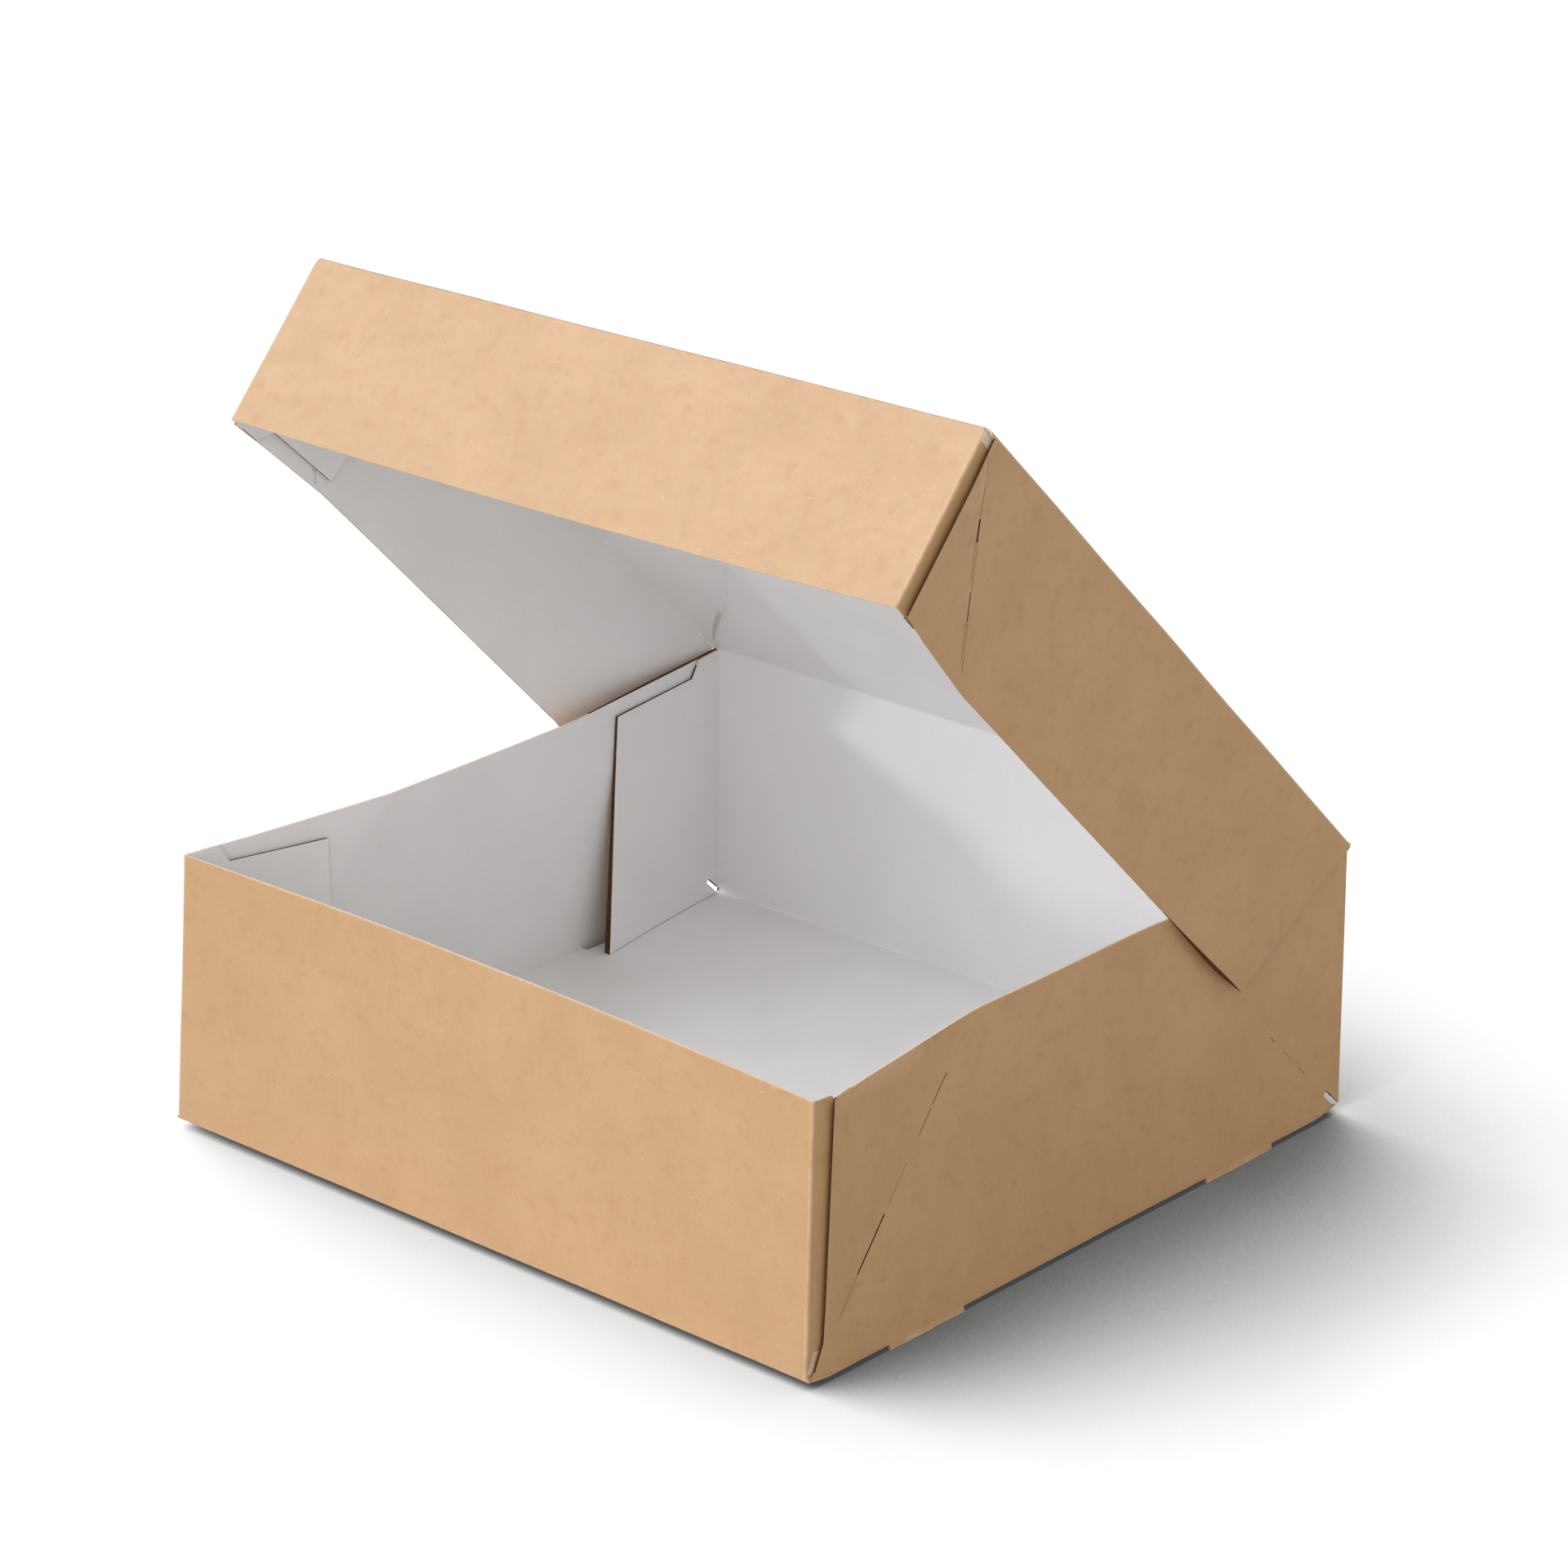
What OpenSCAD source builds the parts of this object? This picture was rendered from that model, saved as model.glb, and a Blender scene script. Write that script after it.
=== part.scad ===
// Takeaway box with a hinged lid, folded from one cut blank of thin board and glued at six corners.
// It stands with its lid part open. Front is -Y, up is +Z, and the origin is on the table
// under the middle of the tray. All sizes are in millimetres.

/* [Board] */
// Thickness of the board
board_t = 0.5; // [0.35:0.05:0.8]
// Outside radius of the folds
fold_r = 1; // [0.8:0.1:2]
// How far pieces of one sheet are let into each other where they meet
lap = 0.05; // [0.02:0.01:0.1]

/* [Tray] */
// Width over the side walls
tray_w = 207; // [150:1:260]
// Depth over the front and back walls
tray_d = 199; // [150:1:260]
// Height of the walls
wall_h = 70; // [50:1:90]
// How far the left rim leans in at its middle
lean_left = 8.6; // [3:0.2:10]
// How far the right rim leans in at its middle
lean_right = 5; // [3:0.2:10]
// The side walls start this far behind the front corners
side_setback = 6.6; // [3:0.2:10]
// And this far in front of the back corners
back_setback = 1.2; // [0.8:0.1:3]

/* [Tray corner flaps] */
// Length of the front wall's glued flaps
front_flap_l = 45; // [30:1:55]
// Length of the back wall's glued flaps
back_flap_l = 44; // [30:1:55]
// The flaps stop this far below the rim
flap_drop = 4.3; // [2:0.1:8]
// Beside its crease each flap rises to the rim, from this far away
flap_rise_from = 13; // [8:0.5:20]
// And is at the rim from here to the crease
flap_rise_to = 9.5; // [4:0.5:16]
// How much longer each flap is at its foot
flap_splay = 3.5; // [0:0.5:6]
// How far the flaps' lower edges stay above the crease beside them
flap_foot = 1.2; // [0.8:0.1:3]

/* [Cuts in the side walls] */
// Width of the fine cuts along the slanting creases
cut_w = 0.4; // [0.3:0.05:0.8]
// Width of the open slits at the lower back corners
corner_slit_w = 1.4; // [0.8:0.1:2]
// Length of those slits
corner_slit_l = 6.4; // [4:0.2:10]

/* [Feet] */
// Height of the tongues that the box stands on
foot_h = 2.2; // [1.5:0.1:4]
// Length of each tongue
foot_l = 26; // [15:1:40]
// Distance of each tongue from the nearer end of the wall
foot_inset = 28; // [15:1:50]

/* [Lid] */
// Height of the lid's front skirt
skirt_h = 45; // [30:1:55]
// Height of its side skirts at the back
skirt_back_h = 48; // [30:1:58]
// How far the lid is open, in degrees from closed
lid_open = 44; // [0:1:180]
// Clearance to each side of the tray when the lid is closed
lid_side_gap = 0.9; // [0.7:0.1:2]
// Clearance in front of the tray when the lid is closed
lid_front_gap = 1; // [0.7:0.1:2]
// Clearance under the closed lid
lid_rest_gap = 0.4; // [0.3:0.1:1]
// Opening left at the crease, so that the lid can turn
hinge_gap = 0.35; // [0.3:0.05:0.6]
// How far the left skirt's lower edge leans in
lid_lean_left = 3.4; // [1:0.1:3.8]
// How far the right skirt's lower edge leans in
lid_lean_right = 2; // [1:0.1:2.2]
// Length of the front skirt's glued flaps
lid_flap_l = 40; // [25:1:45]
// The side skirts start this far behind the lid's front corners
lid_setback = 5.6; // [3:0.2:10]
// How far forward the side skirts' lower back corners are cut
skirt_taper = 11.6; // [4:0.2:14]

/* [Hidden] */
$fn = 32;
eps = 0.01;
reach = 12;
half_w = tray_w / 2;
half_d = tray_d / 2;
rim_z = foot_h + wall_h;
// the crease that the lid turns on: the middle of the board, at the top of the back wall
hinge_y = half_d - board_t / 2;
hinge_z = rim_z + lid_rest_gap + board_t / 2;
lid_w = tray_w + 2 * (lid_side_gap + board_t);
lid_half_w = lid_w / 2;
lid_l = tray_d - board_t / 2 + lid_front_gap + board_t;
// angles that the leans make about their creases
tray_deg_left = atan(lean_left / wall_h);
tray_deg_right = atan(lean_right / wall_h);
lid_deg_left = atan(lid_lean_left / skirt_h);
lid_deg_right = atan(lid_lean_right / skirt_h);
// how far the slanting creases run along the walls for each millimetre of height
tray_crease_run = 0.94;
lid_crease_run = 0.84;
tray_run_left = atan(tan(tray_deg_left) / tray_crease_run);
tray_run_right = atan(tan(tray_deg_right) / tray_crease_run);
lid_run_left = atan(tan(lid_deg_left) / lid_crease_run);
lid_run_right = atan(tan(lid_deg_right) / lid_crease_run);

kraft = [0.80, 0.63, 0.45];

tray();
lid();

// Everything on the inner side of a wall whose outer face is the plane x = 0, in three faces:
// one leans in about the long crease at z = 0, and two turn in about the creases at its ends.
module leaning_body(length, height, crease_deg, front_deg, back_deg) {
    rotate([0, -crease_deg, 0])
        translate([-2 * reach, -reach, -reach])
            cube([2 * reach, length + 2 * reach, height + 2 * reach]);
    rotate([0, 0, front_deg])
        translate([-2 * reach, -reach, -reach])
            cube([2 * reach, length / 2 + reach, height + 2 * reach]);
    translate([0, length, 0])
        rotate([0, 0, -back_deg])
            translate([-2 * reach, -length / 2, -reach])
                cube([2 * reach, length / 2 + reach, height + 2 * reach]);
}

// A sheet of board in that shape, cut to an outline drawn in Y and Z
module leaning_sheet(length, height, crease_deg, front_deg, back_deg) {
    intersection() {
        side_cut(2 * reach) children();
        difference() {
            leaning_body(length, height, crease_deg, front_deg, back_deg);
            translate([-board_t, 0, 0])
                leaning_body(length, height, crease_deg, front_deg, back_deg);
        }
    }
}

// An outline drawn with X as the depth and Y as the height, stood up and made thick along X
module side_cut(thick) {
    translate([-thick / 2, 0, 0])
        rotate([90, 0, 90])
            linear_extrude(thick)
                children();
}

// The rounded board of a fold between two panels, seen from its end: a quarter of a ring
module fold_profile() {
    intersection() {
        difference() {
            circle(fold_r);
            circle(fold_r - board_t);
        }
        square(fold_r + 1);
    }
}

// A fold of a given length along X, on the lower front edge of a panel
module lower_fold(length) {
    translate([-length / 2, 0, 0])
        rotate([90, 0, 90])
            linear_extrude(length)
                mirror([1, 0])
                    mirror([0, 1])
                        fold_profile();
}

// Plan of a wall with a rounded corner and a flap turned back from its right-hand end.
// The wall's outer face is on y = 0 and the flap's outer face starts on x = half_l.
module wall_end_plan(half_l, flap_l, turn_deg) {
    translate([half_l - fold_r, fold_r])
        mirror([0, 1])
            fold_profile();
    translate([half_l, 0])
        rotate(turn_deg)
            translate([-board_t, fold_r - lap])
                square([board_t, flap_l - fold_r + lap]);
}

// A fine cut along the slanting crease of a wall of a given height, between two shares of it
module fine_cut(height, run, from, to) {
    translate([-reach, run * from * height, from * height])
        rotate([atan(1 / run), 0, 0])
            translate([0, 0, -cut_w / 2])
                cube([2 * reach, (to - from) * height / cos(atan(run)), cut_w]);
}

// The open slit at a lower back corner, from the corner upwards and forwards
module corner_slit() {
    translate([-reach, tray_d, 0])
        rotate([-45, 0, 0])
            mirror([0, 1, 0]) {
                translate([0, 0, -corner_slit_w / 2])
                    cube([2 * reach, corner_slit_l, corner_slit_w]);
                translate([0, corner_slit_l, 0])
                    rotate([0, 90, 0])
                        cylinder(h = 2 * reach, d = corner_slit_w);
            }
}

// A side wall of the tray: its outer face starts on x = 0, its crease is on z = 0
module tray_side(deg, run_deg) {
    difference() {
        leaning_sheet(tray_d, wall_h, deg, run_deg, run_deg)
            polygon([
                [side_setback, wall_h], [side_setback, 0.16 * wall_h], [side_setback / 4, fold_r - lap],
                [tray_d - back_setback, fold_r - lap], [tray_d - back_setback, wall_h]
            ]);
        corner_slit();
        fine_cut(wall_h, tray_crease_run, 0.26, 0.41);
        fine_cut(wall_h, tray_crease_run, 0.67, 0.78);
        mirror_depth() {
            fine_cut(wall_h, tray_crease_run, 0.19, 0.28);
            fine_cut(wall_h, tray_crease_run, 0.39, 0.48);
        }
    }
}

module mirror_depth() {
    translate([0, tray_d, 0])
        mirror([0, 1, 0])
            children();
}

// The tray's right-hand half, apart from the panels that run right across.
// The left half is the same with its own lean, mirrored.
module tray_half(deg, run_deg) {
    translate([half_w, -half_d, foot_h]) {
        tray_side(deg, run_deg);
        side_fold(tray_d - 4 * fold_r);
        feet();
        translate([-board_t, 0, 0]) {
            front_flap(run_deg);
            back_flap(run_deg);
        }
    }
}

// Both tongues under a side wall, which are cut from the floor and stay upright
module feet() {
    for (y = [foot_inset, tray_d - foot_inset - foot_l])
        translate([-board_t, y, -foot_h])
            cube([board_t, foot_l, foot_h + fold_r + lap]);
}

// The fold between the floor and a side wall, open where the tongues are cut
module side_fold(length) {
    difference() {
        translate([-fold_r, tray_d / 2, fold_r])
            rotate([0, 0, 90])
                lower_fold(length);
        foot_cuts();
    }
}

// The room that the tongues leave in the floor and its fold
module foot_cuts() {
    for (y = [foot_inset, tray_d - foot_inset - foot_l])
        translate([-board_t - foot_h, y, -eps])
            cube([board_t + foot_h + 1, foot_l, fold_r + 2 * eps]);
}

// The front wall's flap, glued inside the front face of the side wall
module front_flap(deg) {
    intersection() {
        translate([0, 0, fold_r - lap])
            linear_extrude(wall_h - fold_r + lap)
                translate([-half_w + board_t, 0])
                    wall_end_plan(half_w - board_t, front_flap_l + flap_splay, deg);
        side_cut(2 * reach)
            flap_outline(front_flap_l, wall_h);
    }
}

// The outline of a flap of a given length on a wall of a given height, from its crease at X = 0
module flap_outline(flap_l, height) {
    polygon([
        [-fold_r, 0], [2 * fold_r, flap_foot], [flap_l + flap_splay, flap_foot],
        [flap_l, height - flap_drop], [flap_rise_from, height - flap_drop],
        [flap_rise_to, height], [-fold_r, height]
    ]);
}

// The back wall's flap, which rises to the rim beside its crease
module back_flap(deg) {
    difference() {
        intersection() {
            translate([0, tray_d, fold_r - lap])
                linear_extrude(wall_h - fold_r + lap)
                    mirror([0, 1])
                        translate([-half_w + board_t, 0])
                            wall_end_plan(half_w - board_t, back_flap_l + flap_splay, deg);
            mirror_depth()
                side_cut(2 * reach)
                    flap_outline(back_flap_l, wall_h);
        }
        corner_slit();
        corner_relief();
    }
}

// The front or back wall with its lower fold, centred on x = 0, outer face on y = 0
module end_wall(top_z) {
    width = tray_w - 2 * board_t - 2 * fold_r;
    translate([-width / 2, 0, fold_r - lap])
        cube([width, board_t, top_z - fold_r + lap]);
    translate([0, fold_r, fold_r])
        lower_fold(width);
}

// The round opening that a slit runs into at the foot of the back wall
module corner_relief() {
    translate([-3, tray_d - fold_r - eps, 1.4])
        rotate([-90, 0, 0])
            cylinder(h = 2 * fold_r, r = 2.6);
}

module floor_panel() {
    difference() {
        translate([-half_w + fold_r - lap, -half_d + fold_r - lap, foot_h])
            cube([tray_w - 2 * fold_r + 2 * lap, tray_d - 2 * fold_r + 2 * lap, board_t]);
        for (side = [0, 1])
            mirror([side, 0, 0])
                translate([half_w, -half_d, foot_h])
                    foot_cuts();
    }
}

module tray() {
    color(kraft) {
        difference() {
            union() {
                floor_panel();
                translate([0, -half_d, foot_h])
                    end_wall(wall_h);
                translate([0, half_d, foot_h])
                    mirror([0, 1, 0])
                        end_wall(hinge_z - foot_h);
            }
            for (side = [0, 1])
                mirror([side, 0, 0])
                    translate([half_w, -half_d, foot_h])
                        corner_relief();
        }
        // the back wall's top edge is rounded about the crease
        translate([-half_w + board_t + fold_r, hinge_y, hinge_z])
            rotate([0, 90, 0])
                cylinder(h = tray_w - 2 * board_t - 2 * fold_r, d = board_t);
        tray_half(tray_deg_right, tray_run_right);
        mirror([1, 0, 0])
            tray_half(tray_deg_left, tray_run_left);
    }
}

// A side skirt of the closed lid: outer face from x = 0, crease on z = 0, hanging down
module lid_side(deg, run_deg) {
    mirror([0, 0, 1])
        difference() {
            leaning_sheet(lid_l, skirt_back_h, deg, run_deg, deg)
                polygon([
                    [lid_setback, skirt_h], [lid_setback, skirt_h / 9], [lid_setback / 3, fold_r - lap],
                    [lid_l - fold_r - board_t, fold_r - lap], [lid_l - skirt_taper, skirt_back_h]
                ]);
            fine_cut(skirt_h, lid_crease_run, 0.22, 0.46);
            fine_cut(skirt_h, lid_crease_run, 0.7, 0.87);
        }
}

// The front skirt's flap, glued inside the front face of the side skirt
module lid_flap(run_deg) {
    mirror([0, 0, 1])
        intersection() {
            translate([0, 0, fold_r - lap])
                linear_extrude(skirt_h - fold_r + lap)
                    translate([-lid_half_w + board_t, 0])
                        wall_end_plan(lid_half_w - board_t, lid_flap_l, run_deg);
            side_cut(2 * reach)
                flap_outline(lid_flap_l - flap_splay, skirt_h);
        }
}

module lid_half(deg, run_deg) {
    translate([lid_half_w, -lid_l, board_t / 2]) {
        lid_side(deg, run_deg);
        translate([-board_t, 0, 0])
            lid_flap(run_deg);
        // the fold between the lid's top and the side skirt
        translate([-fold_r, lid_l / 2, -fold_r])
            rotate([0, 0, 90])
                mirror([0, 0, 1])
                    lower_fold(lid_l - 4 * fold_r);
    }
}

// The lid, closed, with its crease along the X axis
module closed_lid() {
    skirt_w = lid_w - 2 * board_t - 2 * fold_r;
    crease_y = board_t / 2 + hinge_gap;
    translate([-lid_half_w + fold_r - lap, -lid_l + fold_r - lap, -board_t / 2])
        cube([lid_w - 2 * fold_r + 2 * lap, lid_l - fold_r + lap - crease_y, board_t]);
    translate([-skirt_w / 2, -lid_l, board_t / 2 - skirt_h])
        cube([skirt_w, board_t, skirt_h - fold_r + lap]);
    translate([0, -lid_l + fold_r, board_t / 2 - fold_r])
        mirror([0, 0, 1])
            lower_fold(skirt_w);
    lid_half(lid_deg_right, lid_run_right);
    mirror([1, 0, 0])
        lid_half(lid_deg_left, lid_run_left);
}

module lid() {
    color(kraft)
        translate([0, hinge_y, hinge_z])
            rotate([-lid_open, 0, 0])
                closed_lid();
}
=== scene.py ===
"""Takeaway box, part open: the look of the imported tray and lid.

Tray and lid are each modelled as the sheets of board that they are folded from. A sheet starts as
an outline drawn flat, and a place function folds it: it gives the point at a depth below the
sheet's kraft face. Sizes are in millimetres until a mesh is written, and they repeat part.scad's.

Names of coordinates: x, y, z are the object's. On the lid, s runs from its crease to its front and
n runs down from its top. On a wall or skirt that turns round a corner, s or p is the distance
along the board from its middle.
"""

import math

import bmesh
import bpy
from mathutils import Euler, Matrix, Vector, noise


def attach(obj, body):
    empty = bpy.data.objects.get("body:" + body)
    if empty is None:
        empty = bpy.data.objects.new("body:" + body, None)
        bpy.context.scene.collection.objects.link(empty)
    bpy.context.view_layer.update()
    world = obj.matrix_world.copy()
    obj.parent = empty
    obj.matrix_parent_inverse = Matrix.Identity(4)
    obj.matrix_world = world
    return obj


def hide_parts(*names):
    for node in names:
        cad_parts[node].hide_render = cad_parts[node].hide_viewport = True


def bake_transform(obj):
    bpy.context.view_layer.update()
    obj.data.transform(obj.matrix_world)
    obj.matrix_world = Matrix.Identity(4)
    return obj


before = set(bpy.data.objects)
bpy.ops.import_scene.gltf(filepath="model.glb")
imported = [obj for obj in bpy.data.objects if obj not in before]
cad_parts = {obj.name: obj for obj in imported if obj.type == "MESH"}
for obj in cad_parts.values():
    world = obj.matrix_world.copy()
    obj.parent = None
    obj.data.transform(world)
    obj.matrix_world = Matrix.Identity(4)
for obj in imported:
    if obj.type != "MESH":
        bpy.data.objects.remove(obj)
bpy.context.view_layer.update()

MM = 0.001

# noise_vector starts from the clock unless it is given a seed
noise.seed_set(5)

# the board, and the outer radius of its folds lengthways and at upright corners
BOARD = 0.5
FOLD_R = 1.0
QUARTER = FOLD_R * math.pi / 2
CORNER_R = 0.6
# how far sheets lap into the folds beside them
LAP = 0.05
END = FOLD_R - LAP
# the clear space between a wall's end and the glued flap behind it
FLAP_GAP = 0.3

# the tray
HALF_W = 103.5
HALF_D = 99.5
DEPTH = 2 * HALF_D
FOOT = 2.2
WALL = 70.0
RIM = FOOT + WALL
# how far a slanting crease runs along a side wall for each millimetre up
TRAY_RUN = 0.94
# where the tongues start and end along the side walls
TONGUES = ((28.0, 54.0), (DEPTH - 54.0, DEPTH - 28.0))

# the lid
HINGE_Y = HALF_D - BOARD / 2
HINGE_Z = RIM + 0.4 + BOARD / 2
LID_HALF_W = HALF_W + 1.4
LID_L = DEPTH - BOARD / 2 + 1 + BOARD
SKIRT = 45.0
LID_OPEN = math.radians(44)
# the same run for the slanting creases in the skirts
LID_RUN = 0.84
# where the lid's top takes over from the bent board of the hinge
LID_START = 0.6

# the material slots of every board, in the order of the list of materials
KRAFT, LINING, RAW, PAINTED_SHADE, BROWN, WEB, BROWNER = range(7)

# how fine the meshes are
GRID = 6.0
FOLD_STEPS = 7
CORNER_STEPS = 9
CREASE_LINES = (-1.6, -0.8, 0, 0.8, 1.6)
# how far from a fold the flat board beside it has its first line
BESIDE_FOLD = 0.8
BESIDE_CORNER = 0.6


# Folding

def smooth_least(a, b, soft=0.35):
    """The lesser of two lengths, with the change from one to the other rounded off."""
    k = max(0.0, min(1.0, 0.5 + 0.5 * (b - a) / soft))
    return b + (a - b) * k - soft * k * (1 - k)


def bump(t, centre, width):
    """A soft bump of height 1."""
    return math.exp(-((t - centre) / width) ** 2)


def turned_end(s, half, radius, turn):
    """Section of a sheet that runs straight to half, then turns: (x, y, heading) at s."""
    arc = radius * turn
    if s <= half:
        return s, 0.0, 0.0
    if s <= half + arc:
        a = (s - half) / radius
        return half + radius * math.sin(a), radius * (1 - math.cos(a)), a
    rest = s - half - arc
    x = half + radius * math.sin(turn) + rest * math.cos(turn)
    y = radius * (1 - math.cos(turn)) + rest * math.sin(turn)
    return x, y, turn


def both_ends(s, half, radius, turn_left, turn_right):
    """turned_end for both ends of a sheet: (x, y, inward x, inward y) at s from its middle."""
    turn = turn_right if s > 0 else turn_left
    x, y, a = turned_end(abs(s), half, radius, turn)
    side = 1 if s > 0 else -1
    return side * x, y, -side * math.sin(a), math.cos(a)


def sheet(bm, outline, place, cuts=(), slots=(), edge=None, face=None):
    """Adds a sheet of board to bm: outline is drawn flat, and place(u, v, depth) folds it.

    cuts are extra lines ((u, v), (normal u, normal v)) that the mesh follows, and slots are
    narrow openings, each a list of corners that turns left. edge(u, v) and face(u, v) give the
    material of the cut edge and of the outer face where they aren't the usual ones.
    """
    flat = bmesh.new()
    flat.faces.new([flat.verts.new((u, v, 0)) for u, v in outline])
    flat.normal_update()
    bmesh.ops.triangulate(flat, faces=flat.faces[:], ngon_method="EAR_CLIP")
    lines = list(cuts)
    for axis in (0, 1):
        low = min(p[axis] for p in outline)
        high = max(p[axis] for p in outline)
        count = max(1, round((high - low) / GRID))
        for k in range(1, count):
            at = low + (high - low) * k / count
            lines.append((((at, 0), (1, 0)), ((0, at), (0, 1)))[axis])
    for point, normal in lines:
        split(flat, flat.faces[:], point, normal)
    for slot in slots:
        cut_slot(flat, slot)

    def edge_of(p):
        # the sides of slots are painted shade, for the dark inside of a cut
        if near_slot(p, slots):
            return PAINTED_SHADE
        return edge(p.x, p.y) if edge else RAW

    fold_up(bm, flat, place, edge_of, face if face else lambda u, v: KRAFT)
    flat.free()


def split(flat, faces, point, normal):
    """Cuts some faces of a flat mesh along a line."""
    edges = dict.fromkeys(e for f in faces for e in f.edges)
    verts = dict.fromkeys(v for f in faces for v in f.verts)
    bmesh.ops.bisect_plane(
        flat, geom=list(verts) + list(edges) + list(faces), dist=1e-4,
        plane_co=(*point, 0), plane_no=(*normal, 0))


def cut_slot(flat, corners):
    """Opens a narrow slot with the given corners in a flat mesh."""
    middle = sum((Vector(c) for c in corners), Vector((0, 0))) / len(corners)
    room = max((Vector(c) - middle).length for c in corners) + 0.5
    sides = []
    for a, b in zip(corners, corners[1:] + corners[:1]):
        sides.append((a, (b[1] - a[1], a[0] - b[0])))

    def near(face):
        c = face.calc_center_median().to_2d()
        spread = max((v.co.to_2d() - c).length for v in face.verts)
        return (c - middle).length < room + spread

    for point, normal in sides:
        split(flat, [f for f in flat.faces if near(f)], point, normal)
    inside = []
    for face in flat.faces:
        c = face.calc_center_median().to_2d()
        if all((c - Vector(p)).dot(Vector(n)) < -1e-5 for p, n in sides):
            inside.append(face)
    bmesh.ops.delete(flat, geom=inside, context="FACES")


def near_slot(point, slots):
    """Whether a point is on the edge of a slot."""
    for corners in slots:
        middle = sum((Vector(c) for c in corners), Vector((0, 0))) / len(corners)
        along = Vector(corners[1]) - Vector(corners[0])
        away = point.to_2d() - middle
        d = along.normalized()
        width = (Vector(corners[2]) - Vector(corners[1])).length
        if abs(away.dot(d)) < along.length / 2 + 0.01 and abs(away.cross(d)) < width / 2 + 0.01:
            return True
    return False


def fold_up(bm, flat, place, edge_of, face_of):
    """Folds a flat mesh: kraft face, lining face and the raw edge round them."""
    layers = []
    for depth in (0.0, BOARD):
        layer = {}
        for v in flat.verts:
            layer[v] = bm.verts.new(Vector(place(v.co.x, v.co.y, depth)) * MM)
        layers.append(layer)
    made = []
    for f in flat.faces:
        for layer, slot in zip(layers, (KRAFT, LINING)):
            corners = [layer[v] for v in f.verts]
            if slot == LINING:
                corners.reverse()
            face = bm.faces.new(corners)
            middle = f.calc_center_median()
            face.material_index = face_of(middle.x, middle.y) if slot == KRAFT else slot
            made.append(face)
    for e in flat.edges:
        if len(e.link_faces) == 1:
            a, b = e.verts
            face = bm.faces.new([layers[0][a], layers[0][b], layers[1][b], layers[1][a]])
            face.material_index = edge_of((a.co + b.co) / 2)
            made.append(face)
    bmesh.ops.recalc_face_normals(bm, faces=made)


def slot_between(start, end, width):
    """Corners of a straight slot between two points."""
    a, b = Vector(start), Vector(end)
    d = (b - a).normalized()
    n = Vector((-d.y, d.x)) * width / 2
    return [tuple(a - n), tuple(b - n), tuple(b + n), tuple(a + n)]


def corner_cuts(half, start, side):
    """Lines to cut across the fold of an upright corner, from half to start, and beside it."""
    ats = [half - BESIDE_CORNER]
    for k in range(CORNER_STEPS + 1):
        ats.append(half + (start - half) * k / CORNER_STEPS)
    ats.append(start + BESIDE_CORNER)
    return [((side * at, 0), (1, 0)) for at in ats]


def edge_fold_cuts(half):
    """Lines to cut across the folds at both sides of a sheet, which start at half."""
    cuts = []
    for k in range(-1, FOLD_STEPS + 1):
        at = half + QUARTER * k / FOLD_STEPS if k >= 0 else half - BESIDE_FOLD
        cuts += [((at, 0), (1, 0)), ((-at, 0), (1, 0))]
    return cuts


def fold_strip(bm, left, right, place):
    """A strip of board that bends by a quarter turn, from left to right; place takes (x, arc)."""
    cuts = [((0, QUARTER * k / FOLD_STEPS), (0, 1)) for k in range(1, FOLD_STEPS)]
    sheet(bm, [(left, 0), (right, 0), (right, QUARTER), (left, QUARTER)], place, cuts)


def crease_cuts(length, run_start, run_end):
    """Lines to cut beside the slanting creases at both ends of a wall, for a clean fold."""
    lines = []
    for off in CREASE_LINES:
        lines.append(((off, 0), (1, -run_start)))
        lines.append(((length - off, 0), (1, run_end)))
    return lines


# How the real box departs from true

# how far each corner of the tray is out of place at its foot and at its rim (x, y), and how much
# higher its rim is; the corners are front left, front right, back right and back left
TRAY_FOOT = {"fl": (-1.42, 0.59), "fr": (0.46, -1.40), "br": (0.74, 1.31), "bl": (0.70, -0.38)}
TRAY_RIM = {"fl": (1.2, 2.97), "fr": (0.7, -0.08), "br": (0.7, 0.0), "bl": (0.0, 0.0)}
RIM_LIFT = {"fl": 0.5, "fr": -1.0}
# how far the front wall's rim bows in
FRONT_BOW = 3.4
# how far the right wall's foot hangs down, where along the wall it ends, and over what length it
# comes and goes
FOOT_SAG = 1.3
SAG_END = DEPTH - 3
SAG_EASE = 5.0
# how far the lid's front corners are out of place at its top and at its skirt's edge (x, along,
# down)
LID_TOP = {"l": (0.0, -0.9, 0.0), "r": (-0.1, 1.3, -1.8)}
LID_LOW = {"l": (0.4, -2.3, 0.3), "r": (0.1, -0.4, -1.5)}
# how far the lid's front edge bows down
LOW_BOW = 1.1
# the height and length of the waves in the board
WAVE = 0.14
WAVE_LENGTH = 42


def share_of(value, full):
    """How much of a change has come at value, from 0 to 1 where value reaches full."""
    return min(1.0, max(0.0, value / full))


def wander(p):
    """The slight waves of a sheet of board, which never dip below the table."""
    q = Vector(p) + WAVE * noise.noise_vector(Vector(p) / WAVE_LENGTH)
    q.z = max(q.z, 0)
    return q


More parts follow.
